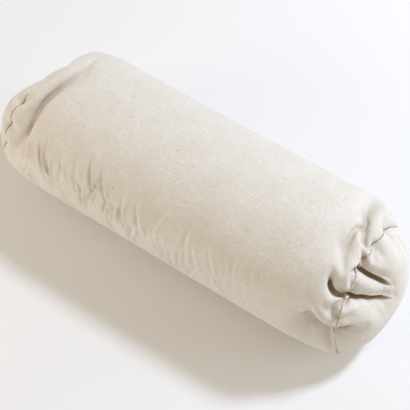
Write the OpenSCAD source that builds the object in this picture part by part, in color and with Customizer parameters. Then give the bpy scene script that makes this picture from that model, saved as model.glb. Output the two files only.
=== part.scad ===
// Bolster pillow: a calico tube closed by two round end panels and stuffed with a roll of batting.
// It lies along X on its flat foot at Z = 0, with the origin under its middle.

/* [Body] */
// Diameter of the stuffed tube
body_d = 152; // [146:1:170]
// Length over both domed ends
overall_l = 456; // [400:2:520]
// How far the tube is flattened where it rests
foot_sink = 4; // [3:0.5:5]

/* [Ends] */
// Diameter of the seam that joins an end panel to the tube
end_seam_d = 132; // [126:1:136]
// Radius of the shoulder where the tube turns in to the end seam
shoulder_r = 30; // [28:1:34]
// How far an end panel domes out past its seam
dome_h = 30; // [26:1:34]

/* [Cloth] */
// Thickness of the calico
cloth_t = 0.8; // [0.6:0.1:0.9]
// Width of the seam allowances inside the cover
allowance_w = 10; // [8:1:12]

/* [Stitching] */
// Diameter of the sewing thread
thread_d = 0.5; // [0.4:0.05:0.6]
// Length of one machine stitch
stitch_l = 3.6; // [3:0.2:5]
// Length of the filling opening, which is closed by hand
opening_l = 200; // [120:10:260]
// Spacing of the hand stitches
hand_pitch = 6; // [5:0.5:8]

/* [Filling] */
// Thickness of one layer of the batting roll
batting_t = 11.6; // [11:0.1:11.8]
// Spacing from one layer of the roll to the next
batting_pitch = 12; // [12:0.1:12.4]

/* [Hidden] */
$fn = 96;

CALICO = [0.88, 0.84, 0.77];
THREAD = [0.94, 0.91, 0.84];
COTTON = [0.93, 0.91, 0.86];

body_r = body_d / 2;
axis_z = body_r - foot_sink;
end_seam_r = end_seam_d / 2;
reach = overall_l; // longer than anything it has to cut
cut = 1; // how far a cutting shape runs past what it cuts

// The shoulder is an arc tangent to the tube, and the dome is a cap of a sphere, and they meet at the seam.
shoulder_centre_r = body_r - shoulder_r;
shoulder_l = sqrt(pow(shoulder_r, 2) - pow(end_seam_r - shoulder_centre_r, 2));
dome_r = (pow(end_seam_r, 2) + pow(dome_h, 2)) / (2 * dome_h);
seam_x = overall_l / 2 - dome_h;
shoulder_x = seam_x - shoulder_l;

// An end panel's allowance stops where its dome has curved in to meet it.
allowance_outer_r = end_seam_r - 1.25 * cloth_t;
allowance_inner_r = end_seam_r - allowance_w;

// The rows of machine stitches run just inside the seams, through both allowances.
row_inset = 2.5;
stitch_gap = 0.3;
end_row_r = end_seam_r - row_inset;
end_stitches = round(2 * PI * end_row_r / stitch_l);

// The long seam is at the back, below the middle, where the tube's two edges turn in side by side.
long_seam_angle = -25;
edge_gap = 0.2;
edges_t = 2 * cloth_t + edge_gap;
long_seam_end_x = seam_x - 5;
run_stitches = floor((long_seam_end_x - opening_l / 2) / stitch_l);
hand_stitches = floor(opening_l / hand_pitch);
hand_stitch_l = 3;

// The batting roll stops short of the end seams, and a wad of loose cotton rounds out each end.
fill_gap = 1.2;
roll_r = body_r - cloth_t - fill_gap;
roll_end_x = seam_x - 16;
roll_turn = 110; // where the roll's loose end lies, round the axis
half_turns = floor(2 * (roll_r - batting_t) / batting_pitch) + 1;
core_r = roll_r - batting_t - (half_turns - 1) * batting_pitch / 2;

// Radius of the cover at a distance along the axis, from the middle to the end seam.
function cover_r(x) =
    x <= shoulder_x ? body_r : shoulder_centre_r + sqrt(pow(shoulder_r, 2) - pow(x - shoulder_x, 2));

// Slope of the cover there, in degrees.
function cover_slope(x) = x <= shoulder_x ? 0 : asin((x - shoulder_x) / shoulder_r);

// Outline of half the pillow from the axis outwards, with the axis upwards, at a depth below the surface.
module half_outline(depth) {
    square([shoulder_centre_r, seam_x]);
    square([body_r - depth, shoulder_x]);
    intersection() {
        translate([shoulder_centre_r, shoulder_x]) circle(shoulder_r - depth);
        square([body_r, seam_x]);
    }
    intersection() {
        translate([0, seam_x + dome_h - dome_r]) circle(dome_r - depth);
        translate([0, seam_x - cloth_t]) square([body_r, dome_h + 2 * cloth_t]);
    }
}

// Outline of the whole pillow.
module outline(depth) {
    half_outline(depth);
    mirror([0, 1]) half_outline(depth);
}

// The pillow as one solid with its flat foot, at a depth below the surface.
module pillow_solid(depth) {
    intersection() {
        translate([0, 0, axis_z]) rotate([0, 90, 0]) rotate_extrude() outline(depth);
        translate([-reach, -reach, depth]) cube([2 * reach, 2 * reach, reach]);
    }
}

// The stretch of space from one place along the axis to another.
module stretch(from_x, to_x) {
    translate([from_x, -reach, -reach]) cube([to_x - from_x, 2 * reach, 2 * reach]);
}

// The cloth of the cover over that stretch.
module cover(from_x, to_x) {
    difference() {
        intersection() {
            pillow_solid(0);
            stretch(from_x, to_x);
        }
        pillow_solid(cloth_t);
    }
}

// A flat ring round the axis.
module ring(from_x, to_x, inner_r, outer_r) {
    translate([from_x, 0, axis_z]) rotate([0, 90, 0]) linear_extrude(to_x - from_x) difference() {
        circle(outer_r);
        circle(inner_r);
    }
}

// Puts a shape made along X, with Y outwards, on the line of the long seam.
module at_long_seam() {
    translate([0, 0, axis_z]) rotate([long_seam_angle, 0, 0]) children();
}

// The space that the turned-in cloth takes, which the filling is pressed clear of.
module allowance_room(side) {
    room = 1.4;
    at_long_seam() translate([-reach, body_r - allowance_w - room, -edges_t / 2 - room])
        cube([2 * reach, allowance_w + 2 * room, edges_t + 2 * room]);
    mirror([side, 0, 0])
        ring(seam_x - cloth_t - room, seam_x + cloth_t + room, allowance_inner_r - room, body_r);
}

// One stitch: a float along X on top of the cloth at Z = 0, with a leg down through the cloth at each end.
module stitch(length, depth) {
    rotate([90, 0, 0]) linear_extrude(thread_d, center = true) difference() {
        translate([-length / 2, -depth]) square([length, depth + thread_d]);
        translate([thread_d - length / 2, -depth - cut]) square([length - 2 * thread_d, depth + cut]);
    }
}

// The ring of stitches on one face of an end seam: side 1 faces the tube, and side -1 faces out.
module end_row(side) {
    chord = 2 * end_row_r * sin(180 / end_stitches) - stitch_gap;
    translate([seam_x - side * cloth_t, 0, axis_z])
        for (i = [0 : end_stitches - 1])
            rotate([i * 360 / end_stitches, 0, 0]) translate([0, 0, end_row_r])
                rotate([0, -90 * side, 0]) rotate([0, 0, 90]) stitch(chord, cloth_t);
}

// The two machine-sewn runs on one face of the long seam, from the ends up to the filling opening.
module long_row(side) {
    depth = edges_t / 2;
    at_long_seam() for (end = [0, 1], i = [0 : run_stitches - 1]) {
        x = opening_l / 2 + (i + 0.5) * stitch_l;
        mirror([end, 0, 0]) translate([x, cover_r(x) - row_inset, side * depth])
            rotate([0, 0, -cover_slope(x)]) rotate([side > 0 ? 0 : 180, 0, 0])
                stitch(stitch_l - stitch_gap, depth);
    }
}

// The loose cotton at the right-hand end.
module end_wad() {
    difference() {
        intersection() {
            pillow_solid(cloth_t + fill_gap / 2);
            stretch(roll_end_x + cut, reach);
        }
        allowance_room(0);
    }
}

// The tube is one sheet: its two long edges turn in at the back, and its ends turn in at the end seams.
module tube_panel() {
    color(CALICO) difference() {
        union() {
            cover(-seam_x, seam_x);
            for (end = [0, 1]) mirror([end, 0, 0])
                ring(seam_x - cloth_t, seam_x, allowance_inner_r, allowance_outer_r);
            at_long_seam() linear_extrude(edges_t, center = true) rotate(90) difference() {
                intersection() {
                    outline(cloth_t / 2);
                    translate([0, -long_seam_end_x]) square([body_r, 2 * long_seam_end_x]);
                }
                outline(allowance_w);
            }
        }
        at_long_seam() translate([-reach, allowance_inner_r - cut, -edge_gap / 2])
            cube([2 * reach, body_r, edge_gap]);
    }
}

// An end panel is a disc whose edge turns in against the tube's.
module right_end_panel() {
    color(CALICO) {
        cover(seam_x, reach);
        ring(seam_x, seam_x + cloth_t, allowance_inner_r, allowance_outer_r);
    }
}

module left_end_panel() {
    mirror([1, 0, 0]) right_end_panel();
}

module right_seam_needle_thread() {
    color(THREAD) end_row(1);
}

module right_seam_bobbin_thread() {
    color(THREAD) end_row(-1);
}

module left_seam_needle_thread() {
    mirror([1, 0, 0]) right_seam_needle_thread();
}

module left_seam_bobbin_thread() {
    mirror([1, 0, 0]) right_seam_bobbin_thread();
}

module long_seam_needle_thread() {
    color(THREAD) long_row(1);
}

module long_seam_bobbin_thread() {
    color(THREAD) long_row(-1);
}

// Hand stitches across the filling opening.
module closing_thread() {
    color(THREAD) at_long_seam() for (i = [0 : hand_stitches - 1])
        translate([(i + 0.5) * hand_pitch - opening_l / 2, body_r, 0])
            rotate([-90, 0, 0]) rotate([0, 0, 90]) stitch(hand_stitch_l, cloth_t);
}

// The batting is a strip rolled up into half-turns, whose centres step to and fro as they grow.
module batting_roll() {
    color(COTTON) difference() {
        intersection() {
            translate([-roll_end_x, 0, axis_z]) rotate([90, 0, 90]) linear_extrude(2 * roll_end_x)
                rotate(roll_turn) for (i = [0 : half_turns - 1]) {
                    inner_r = core_r + i * batting_pitch / 2;
                    translate([i % 2 * batting_pitch / 2, 0]) intersection() {
                        difference() {
                            circle(inner_r + batting_t);
                            circle(inner_r);
                        }
                        translate([-body_d, i % 2 == 0 ? 0 : -body_d]) square([2 * body_d, body_d]);
                    }
                }
            translate([-reach, -reach, cloth_t + fill_gap]) cube([2 * reach, 2 * reach, reach]);
        }
        allowance_room(0);
    }
}

module right_end_wad() {
    color(COTTON) end_wad();
}

module left_end_wad() {
    mirror([1, 0, 0]) right_end_wad();
}

tube_panel();
left_end_panel();
right_end_panel();
left_seam_needle_thread();
left_seam_bobbin_thread();
right_seam_needle_thread();
right_seam_bobbin_thread();
long_seam_needle_thread();
long_seam_bobbin_thread();
closing_thread();
batting_roll();
left_end_wad();
right_end_wad();
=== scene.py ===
"""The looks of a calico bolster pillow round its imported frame: a simulated cover, stitching and filling."""

import math

import bpy
import numpy as np
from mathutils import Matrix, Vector
from mathutils.bvhtree import BVHTree


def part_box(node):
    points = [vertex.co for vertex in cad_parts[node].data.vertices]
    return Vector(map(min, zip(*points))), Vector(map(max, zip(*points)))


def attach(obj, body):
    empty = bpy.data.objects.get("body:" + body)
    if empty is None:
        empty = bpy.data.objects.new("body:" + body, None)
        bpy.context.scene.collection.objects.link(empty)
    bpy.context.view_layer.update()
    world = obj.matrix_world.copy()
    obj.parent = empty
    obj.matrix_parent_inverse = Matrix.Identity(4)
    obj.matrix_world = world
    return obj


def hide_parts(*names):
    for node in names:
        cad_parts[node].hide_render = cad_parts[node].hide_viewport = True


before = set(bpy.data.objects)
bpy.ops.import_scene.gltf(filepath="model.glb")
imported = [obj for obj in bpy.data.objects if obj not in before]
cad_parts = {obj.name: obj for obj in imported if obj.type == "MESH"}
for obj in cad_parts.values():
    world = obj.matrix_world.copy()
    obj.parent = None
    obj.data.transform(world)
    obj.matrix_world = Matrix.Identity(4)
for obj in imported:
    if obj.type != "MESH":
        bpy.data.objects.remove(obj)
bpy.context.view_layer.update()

MM = 0.001
TUBE, NEAR, FAR = 0, 1, -1  # the parts of the cover, where the near end is at +X


# ---------------------------------------------------------------- sizes in metres, most from the frame

def corners(node):
    """A CAD node's lowest and highest corners, as arrays."""
    low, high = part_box(node)
    return np.array(low), np.array(high)


tube_low, tube_high = corners("tube_panel")
end_low, end_high = corners("right_end_panel")
roll_high = corners("batting_roll")[1]

BODY_R = (tube_high[1] - tube_low[1]) / 2
SEAM_R = (end_high[1] - end_low[1]) / 2
SEAM_X = end_low[0]
DOME_H = end_high[0] - end_low[0]
AXIS_Z = (end_low[2] + end_high[2]) / 2
SHOULDER_R = 30 * MM
CLOTH_T = 0.8 * MM
STITCHES = 111  # round each end seam
LONG_SEAM = -25  # where the tube's seam lies, in degrees from +Y towards +Z
OPENING = 200 * MM  # the middle of the long seam, which is closed by hand
HAND_PITCH = 6 * MM

# The stuffed outline is an arc at each shoulder and a cap of a sphere at each end.
DOME_R = (SEAM_R ** 2 + DOME_H ** 2) / (2 * DOME_H)
DOME_ANGLE = math.asin(SEAM_R / DOME_R)
SHOULDER_ANGLE = math.acos((SEAM_R - BODY_R + SHOULDER_R) / SHOULDER_R)
SHOULDER_X = SEAM_X - SHOULDER_R * math.sin(SHOULDER_ANGLE)

# The cloth is cut a little smaller than the stuffed pillow measures, because the filling stretches it.
CUT_SMALLER = 0.972
FLAT_R = DOME_R * DOME_ANGLE * CUT_SMALLER
FLAT_HALF = SHOULDER_X + SHOULDER_R * SHOULDER_ANGLE

RANDOM = np.random.default_rng(7)


# ---------------------------------------------------------------- the pattern, as one mesh of quads

class Pattern:
    """The cover's cloth as it was cut: a tube and two discs that share the tube's end rings.

    Each point keeps its place on the cloth: its angle round the axis, which end it is nearer to (side),
    and its distance over the cloth from that end's seam (run), above 0 on the tube and below 0 on a disc.
    flat is where it lies before stuffing, and cut is its place on its own panel laid out flat.
    """

    def __init__(self, cells):
        self.around = 4 * cells
        self.cells = cells
        self.pitch = 2 * math.pi * FLAT_R / self.around
        self.rows = round(2 * FLAT_HALF / self.pitch)
        self.points = []
        self.faces = []
        self.rings = [self.ring(i) for i in range(self.rows + 1)]
        for one, two in zip(self.rings, self.rings[1:]):
            self.band(one, two)
        self.disc(NEAR, self.rings[-1])
        self.disc(FAR, self.rings[0])
        part, along, y, z = np.array(self.points).T
        self.faces = np.array(self.faces)
        self.angle = np.arctan2(z, y)
        self.degrees = np.degrees(self.angle) % 360
        on_tube = part == TUBE
        self.part = part.astype(int)
        self.side = np.where(on_tube, np.where(along >= 0, NEAR, FAR), part)
        self.run = np.where(on_tube, FLAT_HALF - np.abs(along), along - FLAT_R)
        self.flat = np.stack([
            np.where(on_tube, along, part * FLAT_HALF),
            np.where(on_tube, FLAT_R * np.cos(self.angle), y),
            np.where(on_tube, FLAT_R * np.sin(self.angle), z)], axis=1)
        self.column = round(LONG_SEAM % 360 / 360 * self.around)
        from_seam = (self.angle - 2 * math.pi * self.column / self.around) % (2 * math.pi)
        self.cut = np.stack([
            np.where(on_tube, along, y),
            np.where(on_tube, FLAT_R * from_seam, z),
            part], axis=1)
        self.near_ring = np.array(self.rings[-1])
        self.far_ring = np.array(self.rings[0])

    def point(self, part, along, y, z):
        """Adds a point, whose along is X on the tube and the distance from the middle on a disc."""
        self.points.append((part, along, y, z))
        return len(self.points) - 1

    def ring(self, row):
        x = FLAT_HALF * (2 * row / self.rows - 1)
        turns = [2 * math.pi * j / self.around for j in range(self.around)]
        return [self.point(TUBE, x, math.cos(a), math.sin(a)) for a in turns]

    def band(self, one, two, flip=False):
        for j in range(self.around):
            k = (j + 1) % self.around
            face = (one[j], one[k], two[k], two[j])
            self.faces.append(face[::-1] if flip else face)

    def disc(self, part, rim):
        """A rounded square of cells in the middle, with rings out to the seam."""
        n = self.cells
        core = 0.55 * FLAT_R

        def middle_point(p, q):
            u, v = 2 * p / n - 1, 2 * q / n - 1
            y = core * u * (0.4 + 0.5 * math.sqrt(1 - v * v / 2))
            z = core * v * (0.4 + 0.5 * math.sqrt(1 - u * u / 2))
            return self.point(part, math.hypot(y, z), y, z)

        grid = [[middle_point(p, q) for q in range(n + 1)] for p in range(n + 1)]
        for p in range(n):
            for q in range(n):
                face = (grid[p][q], grid[p + 1][q], grid[p + 1][q + 1], grid[p][q + 1])
                self.faces.append(face if part > 0 else face[::-1])
        half = n // 2
        edge = [grid[n][q] for q in range(half, n)] + [grid[p][n] for p in range(n, 0, -1)]
        edge += [grid[0][q] for q in range(n, 0, -1)] + [grid[p][0] for p in range(n)]
        edge += [grid[n][q] for q in range(half)]
        rings = round((FLAT_R - core) / self.pitch) + 1
        inner = edge
        for k in range(1, rings + 1):
            outer = rim if k == rings else []
            for j in range(self.around if k < rings else 0):
                turn = 2 * math.pi * j / self.around
                y0, z0 = self.points[edge[j]][2:]
                y = y0 + (FLAT_R * math.cos(turn) - y0) * k / rings
                z = z0 + (FLAT_R * math.sin(turn) - z0) * k / rings
                outer.append(self.point(part, math.hypot(y, z), y, z))
            self.band(outer, inner, flip=part < 0)
            inner = outer


def stuffed_shape(run):
    """Distance from the middle, radius, and the outward normal's two parts, at a distance over the cloth."""
    arc = SHOULDER_R * SHOULDER_ANGLE
    turn = SHOULDER_ANGLE * (1 - np.clip(run / arc, 0, 1))
    x = SHOULDER_X + SHOULDER_R * np.sin(turn)
    x = np.where(run > arc, SHOULDER_X * (FLAT_HALF - run) / (FLAT_HALF - arc), x)
    r = BODY_R - SHOULDER_R + SHOULDER_R * np.cos(turn)
    tilt = DOME_ANGLE * (1 + np.minimum(run, 0) / FLAT_R)
    on_disc = run < 0
    x = np.where(on_disc, SEAM_X + DOME_H - DOME_R * (1 - np.cos(tilt)), x)
    r = np.where(on_disc, DOME_R * np.sin(tilt), r)
    normal_x = np.where(on_disc, np.cos(tilt), np.sin(turn))
    normal_r = np.where(on_disc, np.sin(tilt), np.cos(turn))
    return x, r, normal_x, normal_r


# ---------------------------------------------------------------- where the cloth is drawn in

# Each end seam is gathered at knots, given as (angle in degrees, depth in mm).
NEAR_KNOTS = [(181, 12), (157, 6), (134, 14), (118, 5), (102, 10), (78, 8), (54, 7), (33, 7),
              (10, 8), (-13, 7), (-36, 8), (-60, 7), (-83, 8), (-106, 7), (-130, 7), (-154, -5)]
FAR_KNOTS = [(172, 7), (150, 9), (126, 7), (101, 7), (78, 7), (54, 9), (30, 8),
             (8, 8), (-16, 7), (-38, 8), (-62, 7), (-85, 8), (-108, 7), (-131, 8), (-153, 7)]

# A knot's pinch reaches this far over the cloth, in mm, and further for each mm of its depth. It is this many
# degrees wide, and falls off with this power of the angle.
PINCH_REACH = 17
REACH_PER_DEPTH = 1.6
PINCH_WIDTH = 6
PINCH_POWER = 1.3

# The cloth near the near seam is this much larger than it need be, over this distance, so that it folds.
SPARE = 0.083
SPARE_REACH = 30 * MM

# Each groove is (side, width in mm, [(run in mm, angle in degrees, depth in mm), ...]) along its line.
GROOVES = [
    # the big fold of the near end, across the seam
    (NEAR, 3.6, [(-57, 118, 2), (-46, 125, 11), (-30, 130, 17), (-15, 133, 20), (0, 134, 21),
                 (8, 133, 16), (16, 130, 12), (25, 124, 5)]),
    # the second fold of the near panel
    (NEAR, 3.5, [(-44, 93, 2), (-32, 97, 10), (-15, 101, 14), (0, 102, 15)]),
    # the dimple in the tube
    (NEAR, 10, [(27, 91, 9), (28, 97, 11)]),
    # the valley along the near shoulder
    (NEAR, 6.5, [(10, 84, 8), (18, 77, 11), (24, 68, 11), (30, 58, 10), (36, 47, 4)]),
    # the valley low on the near end
    (NEAR, 8, [(-27, 172, 3), (-13, 177, 12), (0, 180, 18), (12, 179, 23), (23, 176, 21), (34, 172, 8)]),
    # the small pair above it
    (NEAR, 5, [(-20, 150, 2), (-12, 154, 7), (0, 157, 10), (10, 151, 11), (19, 146, 6)]),
    # the collapsed valley of the far end
    (FAR, 7.5, [(18, 168, 6), (23, 157, 13), (26, 144, 17), (27, 130, 17), (29, 117, 14),
                (33, 104, 12), (38, 93, 8), (43, 85, 3)]),
    # the upper half of the far panel, which is flat
    (FAR, 28, [(-48, 110, 4), (-48, 70, 4)]),
]

# The hollow low on the near end, pressed in after the simulation.
HOLLOWS = [
    (NEAR, 6.5, [(40, 163, 1), (28, 168, 11), (12, 172, 16), (0, 173, 15), (-10, 173, 11), (-20, 171, 2)]),
]

# The sharp tucks that run out of the near seam over each part, as lines of (run, angle, depth). Each drops
# steeply on its upper side, under a lip, and rises gently below.
TUCKS = {
    TUBE: [[(27, 122, 0), (20, 128, 5), (12, 132, 6), (3, 134, 5), (0, 134, 0)],
           [(14, 112, 0), (8, 107, 3.5), (2, 103, 3), (0, 102, 0)]],
    NEAR: [[(-62, 113, 0), (-52, 122, 3), (-40, 127, 6), (-24, 131, 7), (-3, 134, 5), (0, 134, 0)],
           [(-48, 91, 0), (-38, 95, 4), (-22, 99, 6), (-3, 102, 4), (0, 102, 0)]],
}

TUCK_BELOW = 3.2 * MM
TUCK_ABOVE = 0.9 * MM
LIP_SHARE = 0.3
LIP_UP = 2.6 * MM
LIP_WIDTH = 1.5 * MM

# Before the simulation, each end's upper back moves towards the middle: the near leans, the far slumps.
LEAN = 0.14
SLUMP = 34 * MM
UPPER_BACK = math.radians(68)

# After it, the upper back corner of each end settles this far towards the middle.
SETTLING = ((NEAR, 7 * MM), (FAR, 26 * MM))
SETTLING_BACK = math.radians(52)
SETTLING_IN = 4  # the share by which it also shrinks towards the axis, for each metre that it settles


def leaned(points):
    """The same points round the axis with each end leaning."""
    moved = points.copy()
    share = np.clip(np.abs(points[:, 0]) / (SEAM_X + DOME_H), 0, 1) ** 2
    up = points[:, 1] * math.cos(UPPER_BACK) + points[:, 2] * math.sin(UPPER_BACK)
    slump = SLUMP * np.maximum(up / SEAM_R, 0) ** 2
    moved[:, 0] += share * np.where(points[:, 0] > 0, -LEAN * up, slump)
    return moved


def turned(degrees, centre):
    """Angles counted from a centre, from -180 to 180."""
    return (degrees - centre + 180) % 360 - 180


def groove_depths(pattern, grooves):
    """How deep each point of the cloth has to lie, in metres, for all the grooves."""
    depths = np.zeros(len(pattern.run))
    least = 0.05  # keeps a disc's middle from shrinking to nothing
    shrink = np.clip(1 + np.minimum(pattern.run, 0) / FLAT_R, least, 1)
    for side, width, line in grooves:
        centre = line[len(line) // 2][1]
        here = np.stack([pattern.run, np.radians(turned(pattern.degrees, centre)) * FLAT_R * shrink], axis=1)
        for (run0, angle0, depth0), (run1, angle1, depth1) in zip(line, line[1:]):
            narrowing = max(least, 1 + min((run0 + run1) / 2, 0) * MM / FLAT_R)
            scale = np.array([MM, math.radians(1) * FLAT_R * narrowing])
            start = np.array([run0, angle0 - centre]) * scale
            step = np.array([run1, angle1 - centre]) * scale - start
            share = np.clip((here - start) @ step / (step @ step), 0, 1)
            away = np.linalg.norm(here - start - share[:, None] * step, axis=1) / (width * MM)
            depth = (depth0 + (depth1 - depth0) * share) * MM * np.exp(-away ** 2)
            depths = np.maximum(depths, np.where(pattern.side == side, depth, 0))
    return depths


# ---------------------------------------------------------------- the cloth simulation

THREAD_STIFFNESS = 1.0
SHEAR_STIFFNESS = 0.3
BEND_STIFFNESS = 0.10
KEPT_SPEED = 0.9  # the share that a point keeps of its last step
STEPS = 130
PASSES = 4
PUSH = 4.0 * MM * 0.01  # how far the filling pushes a whole cell's cloth in a step
HELD_FROM = 0.6 * MM  # a point is held down where a groove is deeper than this
UNEVEN = 0.3 * MM  # how far the points stray before the first step, as a standard deviation


class Cloth:
    """Cloth that keeps its length along and across its threads, blown up against what holds it."""

    def __init__(self, pattern, start, spare):
        self.faces = pattern.faces
        self.place = start.copy()
        self.last = start.copy()
        self.free = np.ones(len(start))
        self.links = []
        for pairs, stiffness, resists_stretch in self.kinds_of_link():
            lengths = np.linalg.norm(pattern.flat[pairs[:, 0]] - pattern.flat[pairs[:, 1]], axis=1)
            lengths *= 1 + spare[pairs].mean(axis=1)
            for group in self.separate(pairs):
                one, other = pairs[group, 0], pairs[group, 1]
                self.links.append((one, other, lengths[group], stiffness, resists_stretch))

    def kinds_of_link(self):
        """Threads, the diagonals that resist shear, and next-but-one pairs that resist only bending."""
        faces = self.faces
        threads = np.concatenate([faces[:, [i, (i + 1) % 4]] for i in range(4)])
        threads = np.unique(np.sort(threads, axis=1), axis=0)
        diagonals = np.concatenate([faces[:, [0, 2]], faces[:, [1, 3]]])
        seen, bends = {}, []
        for face in faces.tolist():
            for i in range(4):
                a, b, c, d = (face[(i + k) % 4] for k in range(4))
                key = (min(a, b), max(a, b))
                beyond = {a: d, b: c}
                if key in seen:
                    bends += [(seen[key][a], d), (seen[key][b], c)]
                else:
                    seen[key] = beyond
        bends = np.unique(np.sort(np.array(bends), axis=1), axis=0)
        return [(threads, THREAD_STIFFNESS, True), (diagonals, SHEAR_STIFFNESS, True),
                (bends, BEND_STIFFNESS, False)]

    def separate(self, pairs):
        """Groups of pairs in which no point comes twice, so that a group can move at once."""
        used = [0] * len(self.place)
        colours = np.empty(len(pairs), int)
        for k, (a, b) in enumerate(pairs.tolist()):
            taken = used[a] | used[b]
            colour = 0
            while taken >> colour & 1:
                colour += 1
            colours[k] = colour
            used[a] |= 1 << colour
            used[b] |= 1 << colour
        return [np.nonzero(colours == c)[0] for c in range(colours.max() + 1)]

    def pull_links(self):
        for a, b, lengths, stiffness, resists_stretch in self.links:
            gap = self.place[b] - self.place[a]
            now = np.sqrt((gap * gap).sum(axis=1)) + 1e-12
            excess = (now - lengths) / now * stiffness
            if not resists_stretch:
                excess = np.minimum(excess, 0)
            free_a, free_b = self.free[a], self.free[b]
            gap *= (excess / np.maximum(free_a + free_b, 1))[:, None]
            self.place[a] += gap * free_a[:, None]
            self.place[b] -= gap * free_b[:, None]

    def outward(self):
        """Each point's outward normal, as long as its share of the area."""
        corner = self.place[self.faces]
        area = np.cross(corner[:, 2] - corner[:, 0], corner[:, 3] - corner[:, 1]) / 8
        total = np.zeros_like(self.place)
        for i in range(4):
            for k in range(3):
                total[:, k] += np.bincount(self.faces[:, i], area[:, k], minlength=len(total))
        return total

    def run(self, steps, passes, push, hold):
        """Steps with the filling's push, each followed by passes of the links and of what holds the cloth."""
        for _ in range(steps):
            speed = KEPT_SPEED * (self.place - self.last)
            self.last = self.place.copy()
            self.place += (speed + push * self.outward()) * self.free[:, None]
            for _ in range(passes):
                self.pull_links()
                hold(self.place)


def settled(place):
    """The same points with the upper back corner of each end settled towards the middle."""
    moved = place.copy()
    for side, amount in SETTLING:
        out = np.clip((side * place[:, 0] / (SEAM_X + DOME_H) - 0.5) / 0.5, 0, 1) ** 1.5
        height = place[:, 1] * math.cos(SETTLING_BACK) + place[:, 2] * math.sin(SETTLING_BACK)
        up = np.clip(height / SEAM_R, 0, 1) ** 2
        moved[:, 0] -= side * amount * out * up
        moved[:, 1:] *= 1 - (SETTLING_IN * amount * out * up)[:, None]
    return moved


def simulated_cover(pattern):
    """The cover's points after stuffing, with the floor at Z = 0."""
    x, r, normal_x, normal_r = stuffed_shape(pattern.run)
    cos, sin = np.cos(pattern.angle), np.sin(pattern.angle)
    smooth = np.stack([pattern.side * x, r * cos, r * sin], axis=1)
    normal = np.stack([pattern.side * normal_x, normal_r * cos, normal_r * sin], axis=1)
    inward = -np.stack([0.35 * pattern.side * normal_x, normal_r * cos, normal_r * sin], axis=1)

    gathered = np.zeros(len(x))
    knots = []
    for side, ring, listed in ((NEAR, pattern.near_ring, NEAR_KNOTS), (FAR, pattern.far_ring, FAR_KNOTS)):
        for angle, depth in listed:
            spread = (PINCH_REACH + REACH_PER_DEPTH * depth) * MM
            fade = np.clip(1 - np.abs(pattern.run) / spread, 0, 1)
            bump = np.exp(-np.abs(turned(pattern.degrees, angle) / PINCH_WIDTH) ** PINCH_POWER)
            gathered += (pattern.side == side) * depth * MM * fade * bump
            knots.append(ring[round(angle % 360 / 360 * pattern.around) % pattern.around])
    start = smooth + inward * gathered[:, None] + RANDOM.normal(0, UNEVEN, smooth.shape)
    start = leaned(start)

    depths = groove_depths(pattern, GROOVES)
    spare = SPARE * np.exp(-(pattern.run / SPARE_REACH) ** 2) * (pattern.side == NEAR)
    cloth = Cloth(pattern, start, spare)
    cloth.free[knots] = 0
    held = np.nonzero(depths > HELD_FROM)[0]
    limit = leaned(smooth)[held] - normal[held] * depths[held][:, None]
    normal = normal[held]
    floor = -AXIS_Z

    def hold(place):
        """Keeps the held points below their limits, and every point above the floor."""
        proud = ((place[held] - limit) * normal).sum(axis=1)
        place[held] -= normal * (np.maximum(proud, 0) * cloth.free[held])[:, None]
        np.maximum(place[:, 2], floor, out=place[:, 2])

    cloth.run(STEPS, PASSES, PUSH / pattern.pitch ** 2, hold)
    place = settled(cloth.place)
    place[:, 2] -= place[:, 2].min()
    return place


# ---------------------------------------------------------------- meshes

ALLOWANCE_ROWS = (1.2 * MM, 3.5 * MM, 6 * MM, 9 * MM)  # how far in from the seam they lie
SEAM_GAP = 0.05 * MM  # how far an allowance stands aside from the seam


def new_object(name, points, faces, smooth=True):
    """An object in the scene with a mesh of these points and faces."""
    mesh = bpy.data.meshes.new(name)
    mesh.from_pydata([tuple(p) for p in points], [], [tuple(int(i) for i in f) for f in faces])
    mesh.update()
    mesh.polygons.foreach_set("use_smooth", [smooth] * len(mesh.polygons))
    made = bpy.data.objects.new(name, mesh)
    bpy.context.scene.collection.objects.link(made)
    return made


def applied(piece):
    """The piece with its modifiers made part of its mesh."""
    mesh = bpy.data.meshes.new_from_object(piece.evaluated_get(bpy.context.evaluated_depsgraph_get()))
    piece.modifiers.clear()
    piece.data = mesh
    return piece


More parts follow.
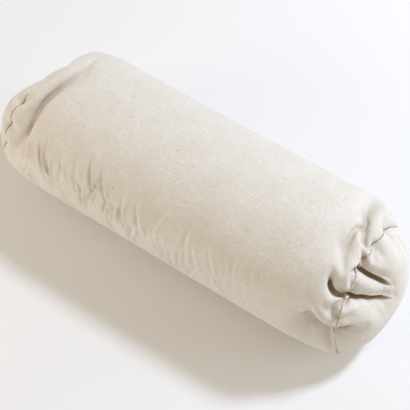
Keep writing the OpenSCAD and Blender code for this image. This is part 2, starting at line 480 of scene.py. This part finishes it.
class Panel:
    """One panel of the cover, whose edges are turned in at the seams."""

    def __init__(self, pattern, place, part):
        parts = pattern.part[pattern.faces]
        chosen = (parts == TUBE).all(axis=1) if part == TUBE else (parts == part).any(axis=1)
        used, faces = np.unique(pattern.faces[chosen], return_inverse=True)
        self.index = {int(old): new for new, old in enumerate(used)}
        self.points = [place[i] for i in used]
        self.cut = [pattern.cut[i] for i in used]
        self.faces = faces.reshape(-1, 4).tolist()

    def split(self, line, full_turn):
        """Cuts the tube open along its long seam, and gives the far edge its own place on the cloth."""
        line = [self.index[int(i)] for i in line]
        copies = {}
        for i in line:
            copies[i] = len(self.points)
            self.points.append(self.points[i])
            self.cut.append(self.cut[i] + np.array([0, full_turn, 0]))
        for face in self.faces:
            if any(i in copies for i in face) and max(self.cut[i][1] for i in face) > full_turn / 2:
                face[:] = [copies.get(i, i) for i in face]
        return line, [copies[i] for i in line]

    def turn_in(self, edge, aside, closed, flip):
        """Adds the seam allowance that runs from an edge towards the axis, moved aside a little."""
        last = edge
        for width in ALLOWANCE_ROWS:
            new = []
            for i in edge:
                towards = np.array([0, -self.points[i][1], AXIS_Z - self.points[i][2]])
                self.points.append(self.points[i] + towards / np.linalg.norm(towards) * width + aside)
                self.cut.append(self.cut[i])
                new.append(len(self.points) - 1)
            for j in range(len(edge) if closed else len(edge) - 1):
                k = (j + 1) % len(edge)
                face = (last[j], last[k], new[k], new[j])
                self.faces.append(face[::-1] if flip else face)
            last = new

    def made(self, name, fineness):
        """The panel as an object, subdivided, whose points know their places on the cloth."""
        piece = new_object(name, self.points, self.faces)
        attribute = piece.data.attributes.new("cut", "FLOAT_VECTOR", "POINT")
        attribute.data.foreach_set("vector", np.array(self.cut).ravel())
        smooth = piece.modifiers.new("smooth", "SUBSURF")
        smooth.levels = smooth.render_levels = fineness
        return applied(piece)


def thick(piece):
    """Gives a panel the cloth's thickness, inwards."""
    solid = piece.modifiers.new("thickness", "SOLIDIFY")
    solid.thickness = CLOTH_T
    solid.offset = -1
    return piece


def tube_piece(pattern, place):
    """The tube, open along its long seam, with all four edges turned in."""
    panel = Panel(pattern, place, TUBE)
    line = [ring[pattern.column] for ring in pattern.rings]
    one, two = panel.split(line, 2 * math.pi * FLAT_R)
    angle = math.radians(LONG_SEAM)
    aside = SEAM_GAP * np.array([0, -math.sin(angle), math.cos(angle)])
    panel.turn_in(one, aside, closed=False, flip=False)
    panel.turn_in(two, -aside, closed=False, flip=True)
    for side, edge in ((NEAR, pattern.near_ring), (FAR, pattern.far_ring)):
        edge = [panel.index[int(i)] for i in np.roll(edge, -pattern.column)]
        edge.append(two[-1] if side == NEAR else two[0])
        panel.turn_in(edge, np.array([-side * SEAM_GAP, 0, 0]), closed=False, flip=side == FAR)
    return panel.made("tube", fineness=1)


def end_piece(name, pattern, place, side):
    """An end panel with its edge turned in, finer at the near end, where it has sharp tucks."""
    panel = Panel(pattern, place, side)
    ring = pattern.near_ring if side == NEAR else pattern.far_ring
    edge = [panel.index[int(i)] for i in ring]
    for i, point in zip(edge, pattern.flat[ring]):
        panel.cut[i] = np.array([point[1], point[2], side])
    panel.turn_in(edge, np.array([side * SEAM_GAP, 0, 0]), closed=True, flip=side == NEAR)
    return panel.made(name, fineness=2 if side == NEAR else 1)


def press(piece, depth_at):
    """Moves a panel's points inwards, by a depth worked out from their places on the cloth."""
    mesh = piece.data
    count = len(mesh.vertices)
    cut, points, normals = (np.empty(3 * count) for _ in range(3))
    mesh.attributes["cut"].data.foreach_get("vector", cut)
    mesh.vertices.foreach_get("co", points)
    mesh.vertices.foreach_get("normal", normals)
    cut, points, normals = (a.reshape(-1, 3) for a in (cut, points, normals))
    points -= normals * depth_at(cut)[:, None]
    mesh.vertices.foreach_set("co", points.ravel())
    mesh.update()


def lower_wrinkles():
    """The depth function of the fine short wrinkles in the tube's lower front."""
    first, last, pitch, stray = -176, 120, 6.2, 5  # along the tube, in mm
    fade_from, fade_over = -60 * MM, 200 * MM  # they grow shallower towards the near end
    curve = 6.0
    deepest = 2.8 * MM
    listed = []
    for x in np.arange(first, last, pitch) * MM:
        x += RANDOM.uniform(-stray, stray) * MM
        fade = np.clip(1 - (x - fade_from) / fade_over, 0.15, 1)
        place = FLAT_R * math.radians(RANDOM.uniform(148, 186) - LONG_SEAM)
        tilt = RANDOM.uniform(-0.35, 0.6)
        half_length = RANDOM.uniform(8, 20) * MM
        width = RANDOM.uniform(1.5, 2.7) * MM
        listed.append((x, place, tilt, half_length, width, RANDOM.uniform(1.3, 3.0) * MM * fade))

    def depth_at(cut):
        depth = np.zeros(len(cut))
        for x, place, tilt, half_length, width, deep in listed:
            along = cut[:, 1] - place
            across = (cut[:, 0] - x - tilt * along - curve * along ** 2) / width
            bend = np.exp(-across ** 2) - 0.7 * np.exp(-(across - 1.9) ** 2)  # a valley beside a low ridge
            depth += deep * bend * np.exp(-(along / half_length) ** 2)
        return deepest * np.tanh(depth / deepest)
    return depth_at


def deepest_near(cut, depth_at):
    """The greatest depth within half a cell or so of each place on the cloth, and never less than none."""
    shifts = (-1.7 * MM, 0, 1.7 * MM)
    steps = [(x, y, 0) for x in shifts for y in shifts]
    return np.maximum(np.max([depth_at(cut + step) for step in steps], axis=0), 0)


def beside(places, line):
    """How far each place lies to the left of a line of (x, y, depth) points, and the depth abreast of it."""
    nearest = np.full(len(places), np.inf)
    aside, depth = np.zeros(len(places)), np.zeros(len(places))
    for start, end in zip(line, line[1:]):
        step = end[:2] - start[:2]
        share = np.clip((places - start[:2]) @ step / (step @ step), 0, 1)
        off = places - start[:2] - share[:, None] * step
        away = np.linalg.norm(off, axis=1)
        left = np.where(step[0] * off[:, 1] > step[1] * off[:, 0], 1, -1)
        nearer = away < nearest
        nearest = np.where(nearer, away, nearest)
        aside = np.where(nearer, away * left, aside)
        depth = np.where(nearer, start[2] + (end[2] - start[2]) * share, depth)
    return aside, depth


def on_cloth(part, run, angle, depth):
    """A (run, angle, depth) point of the near end as (x, y, depth) in a panel's own cut coordinates."""
    if part == TUBE:
        return np.array([FLAT_HALF - run * MM, FLAT_R * math.radians(angle - LONG_SEAM), depth * MM])
    turn = math.radians(angle)
    radius = FLAT_R + run * MM
    return np.array([radius * math.cos(turn), radius * math.sin(turn), depth * MM])


def tucks(part):
    """The depth function of the near end's sharp tucks, in the tube or in the near panel."""
    def depth_at(cut):
        total = np.zeros(len(cut))
        for listed in TUCKS[part]:
            aside, depth = beside(cut[:, :2], [on_cloth(part, *point) for point in listed])
            below = np.exp(-np.maximum(aside, 0) / TUCK_BELOW)
            above = np.exp(-(np.minimum(aside, 0) / TUCK_ABOVE) ** 2)
            lip = LIP_SHARE * np.exp(-((aside + LIP_UP) / LIP_WIDTH) ** 2)
            total += depth * (below * above - lip)
        return total
    return depth_at


# ---------------------------------------------------------------- materials

class Nodes:
    """A short way to write a material's nodes."""

    def __init__(self, name):
        self.material = bpy.data.materials.new(name)
        self.material.use_nodes = True
        self.tree = self.material.node_tree
        self.shader = self.tree.nodes["Principled BSDF"]

    def add(self, kind, inputs=None, **settings):
        """A new node, with a value or a link for each of its inputs."""
        node = self.tree.nodes.new("ShaderNode" + kind)
        for key, value in settings.items():
            setattr(node, key, value)
        for key, value in (inputs or {}).items():
            self.link(value, node.inputs[key])
        return node

    def link(self, value, socket):
        if isinstance(value, bpy.types.NodeSocket):
            self.tree.links.new(value, socket)
        else:
            socket.default_value = value

    def math(self, operation, *values):
        return self.add("Math", dict(enumerate(values)), operation=operation).outputs[0]

    def noise(self, vector, scale, detail=2.0, rough=0.5):
        inputs = {"Vector": vector, "Scale": scale, "Detail": detail, "Roughness": rough}
        return self.add("TexNoise", inputs).outputs["Fac"]

    def stretch(self, vector, scale):
        return self.add("VectorMath", {0: vector, 1: scale}, operation="MULTIPLY").outputs[0]

    def ramp(self, value, low, high, from_value=0.0, to_value=1.0):
        """A value spread from one range to another, and kept inside it."""
        inputs = {"Value": value, "From Min": low, "From Max": high, "To Min": from_value, "To Max": to_value}
        return self.add("MapRange", inputs).outputs[0]

    def mix(self, factor, one, two, blend="MIX"):
        node = self.add("Mix", data_type="RGBA", blend_type=blend)
        self.link(factor, node.inputs["Factor"])
        self.link(one, node.inputs[6])
        self.link(two, node.inputs[7])
        return node.outputs[2]

    def bump(self, height, distance, normal=None):
        inputs = {"Height": height, "Distance": distance, "Strength": 1.0}
        if normal:
            inputs["Normal"] = normal
        return self.add("Bump", inputs).outputs[0]


THREADS = 2100.0  # half waves of the weave in a metre, each way
CREAM = (0.790, 0.750, 0.692, 1)
ECRU = (0.705, 0.655, 0.567, 1)
PALE = (0.848, 0.820, 0.780, 1)
FLOOR_PALE = (0.90, 0.90, 0.905, 1)
FLOOR_COOL = (0.88, 0.885, 0.90, 1)
FLECK = (0.230, 0.150, 0.080, 1)
CREASE_SHADE = (0.48, 0.35, 0.20, 1)  # painted shade: what the colour is multiplied by deep in a fold, where the fold's shadow falls
THREAD_LIGHT = (0.80, 0.74, 0.60, 1)
THREAD_DARK = (0.70, 0.60, 0.42, 1)
TUFT_LIGHT = (0.80, 0.77, 0.69, 1)
TUFT_DARK = (0.70, 0.65, 0.55, 1)


def calico():
    """Unbleached plain weave, with uneven yarns, a slubby grain, mottling, seed flecks, and painted shade
    that darkens its folds.
    """
    n = Nodes("calico")
    cut = n.add("Attribute", attribute_name="cut").outputs["Vector"]
    warp = n.noise(n.stretch(cut, (60.0, THREADS, 1.0)), 1.0)
    weft = n.noise(n.stretch(cut, (THREADS, 60.0, 1.0)), 1.0)
    slub_along = n.noise(n.stretch(cut, (75.0, 950.0, 1.0)), 1.0, 3.0)
    slub_across = n.noise(n.stretch(cut, (950.0, 75.0, 1.0)), 1.0, 3.0)
    split = n.add("SeparateXYZ", {0: cut})
    over = n.math("SINE", n.math("MULTIPLY", split.outputs[0], THREADS * math.pi))
    under = n.math("SINE", n.math("MULTIPLY", split.outputs[1], THREADS * math.pi))
    weave = n.math("MULTIPLY", over, under)
    mottle = n.noise(cut, 38.0, 3.0)
    grain = n.math("ADD", slub_along, slub_across)
    colour = n.mix(n.ramp(mottle, 0.35, 0.68), CREAM, PALE)
    colour = n.mix(n.ramp(grain, 0.86, 1.24, 0.0, 0.6), colour, ECRU)
    tweed = n.noise(cut, 430.0, 2.0)
    colour = n.mix(n.ramp(tweed, 0.42, 0.66, 0.0, 0.5), colour, ECRU)
    # Painted shade: the colour darkens towards a brown where ambient occlusion finds a deep fold.
    fold = n.add("AmbientOcclusion", {"Distance": 9 * MM}, samples=6).outputs["AO"]
    colour = n.mix(n.ramp(fold, 0.84, 0.36, 0.0, 1.0), colour, CREASE_SHADE, "MULTIPLY")
    specks = n.add("TexVoronoi", {"Vector": cut, "Scale": 95.0, "Randomness": 1.0})
    chosen = n.add("SeparateColor", {0: specks.outputs["Color"]}).outputs[0]
    small = n.math("LESS_THAN", specks.outputs["Distance"], 0.055)
    fleck = n.math("MULTIPLY", small, n.math("GREATER_THAN", chosen, 0.6))
    colour = n.mix(n.math("MULTIPLY", fleck, 0.7), colour, FLECK)
    n.link(colour, n.shader.inputs["Base Color"])
    yarns = n.math("ADD", n.math("MULTIPLY", weave, 0.25), n.math("ADD", warp, weft))
    crinkle = n.noise(cut, 160.0, 4.0, 0.6)
    fine = n.bump(yarns, 0.05 * MM)
    slubbed = n.bump(grain, 0.28 * MM, fine)
    n.link(n.bump(crinkle, 0.7 * MM, slubbed), n.shader.inputs["Normal"])
    n.link(n.ramp(grain, 0.7, 1.3, 0.96, 0.84), n.shader.inputs["Roughness"])
    n.shader.inputs["Specular IOR Level"].default_value = 0.2
    n.shader.inputs["Sheen Weight"].default_value = 0.12
    n.shader.inputs["Sheen Roughness"].default_value = 0.6
    return n.material


def thread_cotton():
    """Twisted cotton thread, a little yellower than the cloth."""
    n = Nodes("thread")
    place = n.add("NewGeometry").outputs["Position"]
    twist = n.noise(n.stretch(place, (5000.0, 2500.0, 2500.0)), 1.0)
    n.link(n.mix(twist, THREAD_LIGHT, THREAD_DARK), n.shader.inputs["Base Color"])
    n.link(n.bump(twist, 0.05 * MM), n.shader.inputs["Normal"])
    n.shader.inputs["Roughness"].default_value = 0.8
    n.shader.inputs["Sheen Weight"].default_value = 0.1
    return n.material


def loose_cotton():
    """Matted cotton fibre."""
    n = Nodes("cotton_filling")
    place = n.add("NewGeometry").outputs["Position"]
    tufts = n.noise(place, 90.0, 5.0, 0.65)
    fibres = n.noise(n.stretch(place, (400.0, 1500.0, 1500.0)), 1.0, 4.0)
    n.link(n.mix(tufts, TUFT_LIGHT, TUFT_DARK), n.shader.inputs["Base Color"])
    n.link(n.bump(n.math("ADD", tufts, fibres), 1.5 * MM), n.shader.inputs["Normal"])
    n.shader.inputs["Roughness"].default_value = 1.0
    n.shader.inputs["Sheen Weight"].default_value = 0.3
    return n.material


def paper():
    """The plain pale floor."""
    n = Nodes("floor")
    place = n.add("NewGeometry").outputs["Position"]
    n.link(n.mix(n.noise(place, 3.0), FLOOR_COOL, FLOOR_PALE), n.shader.inputs["Base Color"])
    n.shader.inputs["Roughness"].default_value = 0.9
    n.shader.inputs["Specular IOR Level"].default_value = 0.1
    return n.material


# ---------------------------------------------------------------- stitches

ALONG_STITCH = (-1, -0.5, 0, 0.5, 1)
THREAD_R = 0.24 * MM
HAND_THREAD_R = 0.28 * MM
MACHINE_RUN = 25  # stitches in each of the long seam's two machine-sewn ends


def tube_along(paths, radius, sides=6):
    """Points and faces of closed round threads, one along each path."""
    points, faces = [], []
    for path in paths:
        path = np.array(path)
        first = len(points)
        for i, centre in enumerate(path):
            ahead = path[min(i + 1, len(path) - 1)] - path[max(i - 1, 0)]
            ahead /= np.linalg.norm(ahead)
            across = np.cross(ahead, [0.3, 0.2, 0.9])
            across /= np.linalg.norm(across)
            third = np.cross(ahead, across)
            for k in range(sides):
                a = 2 * math.pi * k / sides
                points.append(centre + radius * (math.cos(a) * across + math.sin(a) * third))
        for i in range(len(path) - 1):
            for k in range(sides):
                m = (k + 1) % sides
                low, high = first + i * sides, first + (i + 1) * sides
                faces.append((low + k, low + m, high + m, high + k))
        faces.append(tuple(first + k for k in reversed(range(sides))))
        faces.append(tuple(first + (len(path) - 1) * sides + k for k in range(sides)))
    return points, faces


def closed_line(points, count):
    """Evenly spaced points along a closed line."""
    loop = np.vstack([points, points[:1]])
    length = np.concatenate([[0], np.cumsum(np.linalg.norm(np.diff(loop, axis=0), axis=1))])
    wanted = np.linspace(0, length[-1], count, endpoint=False)
    return np.stack([np.interp(wanted, length, loop[:, k]) for k in range(3)], axis=1)


def seam_stitches(name, ring_points, ring_normals):
    """Short bars of thread across the seam, one at each stitch."""
    centres = closed_line(ring_points, STITCHES)
    normals = closed_line(ring_normals, STITCHES)
    paths = []
    for i, (centre, normal) in enumerate(zip(centres, normals)):
        normal = normal / np.linalg.norm(normal)
        tangent = centres[(i + 1) % STITCHES] - centres[i - 1]
        across = np.cross(tangent / np.linalg.norm(tangent), normal)
        slant = 0.35 * MM * tangent / np.linalg.norm(tangent)
        paths.append([centre + across * t * 1.1 * MM + slant * t + normal * (0.55 - 1.0 * abs(t) ** 2) * MM
                      for t in ALONG_STITCH])
    points, faces = tube_along(paths, THREAD_R)
    return new_object(name, points, faces)


def long_seam_stitches(line, normal, tube_half):
    """The machine runs at each end of the long seam, and the hand stitches that close its middle."""
    x = line[:, 0]
    spread = np.concatenate([[0], np.cumsum(np.linalg.norm(np.diff(line, axis=0), axis=1))])
    spread -= np.interp(0, x, spread)

    def at(run, lift, across):
        """The place at a distance along the seam, above the cloth and to one side."""
        centre = np.array([np.interp(run, spread, line[:, k]) for k in range(3)])
        out = np.array([np.interp(run, spread, normal[:, k]) for k in range(3)])
        side = np.cross([1, 0, 0], out)
        return centre + lift * out + across * side

    machine, hand = [], []
    pitch = (tube_half - 8 * MM - OPENING / 2) / MACHINE_RUN
    for side in (FAR, NEAR):
        for k in range(MACHINE_RUN):
            run = side * (OPENING / 2 + (k + 0.5) * pitch)
            machine.append([at(run + 0.3 * MM * t, (0.45 - 0.9 * t * t) * MM, t * MM) for t in ALONG_STITCH])
    count = int(OPENING / HAND_PITCH)
    for k in range(count):
        run = (k - (count - 1) / 2) * HAND_PITCH
        lean = (1 + 0.4 * math.sin(2.4 * k)) * MM
        hand.append([at(run + lean * t, (0.7 - 1.1 * t * t) * MM, 1.7 * t * MM) for t in ALONG_STITCH])
    return machine, hand


# ---------------------------------------------------------------- the filling

LAYER = 12 * MM  # from one layer of the roll to the next
LAYER_GAP = 0.6 * MM
CORE = 2.4 * MM  # the inner radius of the first layer
UNDER = 2.6 * MM  # how far the filling stays under the cover's outside
ROLL_END = roll_high[0]
WAD_GAP = 0.6 * MM  # between the roll and each wad


def reach(tree, start, direction):
    """How far the cover is from a point, in a direction, less the gap that the filling keeps."""
    aim = Vector(direction)
    hit = tree.ray_cast(Vector(start), aim)
    while hit[3] is None:  # it went exactly between two faces
        aim += Vector((0.001, 0.002, 0.003))
        hit = tree.ray_cast(Vector(start), aim)
    return hit[3] - UNDER


def least_of_neighbours(grid):
    """Each value, or a smaller one next to it along the rows or round the columns."""
    padded = np.pad(grid, ((1, 1), (0, 0)), mode="edge")
    least = np.minimum(np.minimum(padded[:-2], padded[2:]), grid)
    return np.minimum(np.minimum(np.roll(least, 1, axis=1), np.roll(least, -1, axis=1)), least)


def batting_roll(tree):
    """One sheet of batting rolled up, pressed to the shape of the cover round it."""
    around, turns, sheet = 48, 5.5, LAYER - LAYER_GAP
    slices = np.linspace(-ROLL_END, ROLL_END, 49)
    turn = np.arange(around) * 2 * math.pi / around
    ways = [(0, math.cos(a), math.sin(a)) for a in turn]
    room = least_of_neighbours(np.array([[reach(tree, (x, 0, AXIS_Z), way) for way in ways] for x in slices]))
    steps = np.arange(int(around * turns) + 1)
    inner = CORE + LAYER * steps / around
    widest = np.array([inner[steps % around == k].max() + sheet for k in range(around)])
    share = np.stack([inner, inner + sheet], axis=1) / widest[steps % around][:, None]
    points, faces = [], []
    for x, limit in zip(slices, room):
        for step, pair in zip(steps, share):
            a = turn[step % around]
            for r in pair * limit[step % around]:
                points.append((x, r * math.cos(a), AXIS_Z + r * math.sin(a)))
    row = 2 * len(steps)
    last = row - 2
    for low in range(0, row * (len(slices) - 1), row):
        high = low + row
        for a in range(0, last, 2):
            faces.append((low + a, low + a + 2, high + a + 2, high + a))
            faces.append((low + a + 1, high + a + 1, high + a + 3, low + a + 3))
        faces.append((low, high, high + 1, low + 1))
        faces.append((low + last, low + last + 1, high + last + 1, high + last))
    top = row * (len(slices) - 1)
    for a in range(0, last, 2):
        faces.append((a, a + 1, a + 3, a + 2))
        faces.append((top + a, top + a + 2, top + a + 3, top + a + 1))
    return new_object("batting", points, faces)


def end_wad(name, tree, side):
    """Loose cotton that fills an end, following the cover."""
    around, rings = 64, 24
    back = np.array([side * (ROLL_END + WAD_GAP), 0, AXIS_Z])
    tilts = np.arange(1, rings + 1) * math.pi / 2 / rings
    turn = np.arange(around) * 2 * math.pi / around
    ways = np.array([[(side * math.cos(t), math.sin(t) * math.cos(a), math.sin(t) * math.sin(a))
                      for a in turn] for t in tilts])
    room = least_of_neighbours(np.array([[reach(tree, back, way) for way in ring] for ring in ways]))
    points = list((back + ways * room[:, :, None]).reshape(-1, 3))
    tip = len(points)
    heart = tip + 1
    points += [back + np.array([side * room[0].min(), 0, 0]), back]
    widest = around * (rings - 1)
    faces = []
    for k in range(around):
        m = (k + 1) % around
        fan = [(tip, k, m)]
        fan += [(i + k, i + around + k, i + around + m, i + m) for i in range(0, widest, around)]
        fan.append((widest + k, heart, widest + m))
        faces += fan if side == NEAR else [face[::-1] for face in fan]
    return new_object(name, points, faces)


# ---------------------------------------------------------------- camera, light and floor

def camera():
    """Looks down on the pillow from its front right."""
    azimuth, elevation, distance = math.radians(33.5), math.radians(60), 1.0
    target = Vector((0.0156, -0.0089, 0.070))
    level = math.cos(elevation)
    out = Vector((math.sin(azimuth) * level, -math.cos(azimuth) * level, math.sin(elevation)))
    data = bpy.data.cameras.new("camera")
    data.angle = math.radians(23.66)
    made = bpy.data.objects.new("camera", data)
    bpy.context.scene.collection.objects.link(made)
    made.location = target + distance * out
    made.rotation_euler = (-out).to_track_quat("-Z", "Y").to_euler()
    bpy.context.scene.camera = made


def lamp(name, direction, distance, size, power, colour):
    """A square softbox that faces the middle of the floor."""
    data = bpy.data.lights.new(name, "AREA")
    data.size = size
    data.energy = power
    data.color = colour
    made = bpy.data.objects.new(name, data)
    bpy.context.scene.collection.objects.link(made)
    out = Vector(direction).normalized()
    made.location = out * distance
    made.rotation_euler = (-out).to_track_quat("-Z", "Y").to_euler()


def studio():
    """A cool key light behind the pillow, a warm fill, a cool light at the near end, and a white floor."""
    lamp("key", (0.40, 0.66, 1.0), 2.2, 0.28, 30, (0.73, 0.83, 1.0))
    lamp("fill", (-0.85, -0.8, 0.38), 1.2, 0.5, 3.7, (1.0, 0.92, 0.81))
    lamp("side", (1.0, 0.50, 0.50), 1.3, 0.5, 2.6, (0.78, 0.88, 1.0))
    world = bpy.data.worlds.new("studio")
    bpy.context.scene.world = world
    world.use_nodes = True
    background = world.node_tree.nodes["Background"]
    background.inputs["Color"].default_value = (1.0, 0.89, 0.73, 1)
    background.inputs["Strength"].default_value = 0.52
    half = 4
    corners_xy = [(-half, -half), (half, -half), (half, half), (-half, half)]
    floor = new_object("floor", [(x, y, 0) for x, y in corners_xy], [(0, 1, 2, 3)], smooth=False)
    floor.data.materials.append(paper())
    bpy.context.scene.view_settings.view_transform = "Standard"


# ---------------------------------------------------------------- the pillow

def finished(piece, material, slot, *nodes):
    """Gives a piece its material and its body, and hides the CAD nodes that it stands for."""
    piece.data.materials.append(material)
    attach(piece, "root")
    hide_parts(*nodes)


camera()
studio()

pattern = Pattern(cells=40)
place = simulated_cover(pattern)

body = new_object("whole", place, pattern.faces)
normals = np.array([v.normal for v in body.data.vertices])
bpy.data.objects.remove(body)

place -= normals * groove_depths(pattern, HOLLOWS)[:, None]

# What is pressed into the panels once they are made, and the filling's limit that leaves room for it.
pressed = {TUBE: [lower_wrinkles(), tucks(TUBE)], NEAR: [tucks(NEAR)], FAR: []}
limit = place.copy()
for part, depth_functions in pressed.items():
    here = pattern.part == part
    for depth_at in depth_functions:
        limit[here] -= normals[here] * deepest_near(pattern.cut[here], depth_at)[:, None]
tree = BVHTree.FromPolygons(limit.tolist(), pattern.faces.tolist(), epsilon=1e-5)

# The stitches pinch the seams in.
PINCH_IN = 1.0 * MM
for ring in (pattern.near_ring, pattern.far_ring):
    place[ring] -= normals[ring] * PINCH_IN
seam = np.array([ring[pattern.column] for ring in pattern.rings])
place[seam[1:-1]] -= normals[seam[1:-1]] * PINCH_IN

cloth = calico()
panels = [(tube_piece(pattern, place), TUBE, "tube_panel")]
panels.append((end_piece("right_end", pattern, place, NEAR), NEAR, "right_end_panel"))
panels.append((end_piece("left_end", pattern, place, FAR), FAR, "left_end_panel"))
for piece, part, node in panels:
    for depth_at in pressed[part]:
        press(piece, depth_at)
    finished(thick(piece), cloth, "calico", node)

thread = thread_cotton()
for side, ring in (("right", pattern.near_ring), ("left", pattern.far_ring)):
    stitches = seam_stitches(side + "_seam_stitches", place[ring], normals[ring])
    finished(stitches, thread, "thread", side + "_seam_needle_thread", side + "_seam_bobbin_thread")

machine, hand = long_seam_stitches(place[seam], normals[seam], FLAT_HALF)
points, faces = tube_along(machine, THREAD_R)
stitches = new_object("long_seam_stitches", points, faces)
finished(stitches, thread, "thread", "long_seam_needle_thread", "long_seam_bobbin_thread")
points, faces = tube_along(hand, HAND_THREAD_R)
stitches = new_object("closing_stitches", points, faces)
finished(stitches, thread, "thread", "closing_thread")

cotton = loose_cotton()
fillings = [(batting_roll(tree), "batting_roll")]
fillings.append((end_wad("right_wad", tree, NEAR), "right_end_wad"))
fillings.append((end_wad("left_wad", tree, FAR), "left_end_wad"))
for piece, node in fillings:
    finished(piece, cotton, "cotton_filling", node)
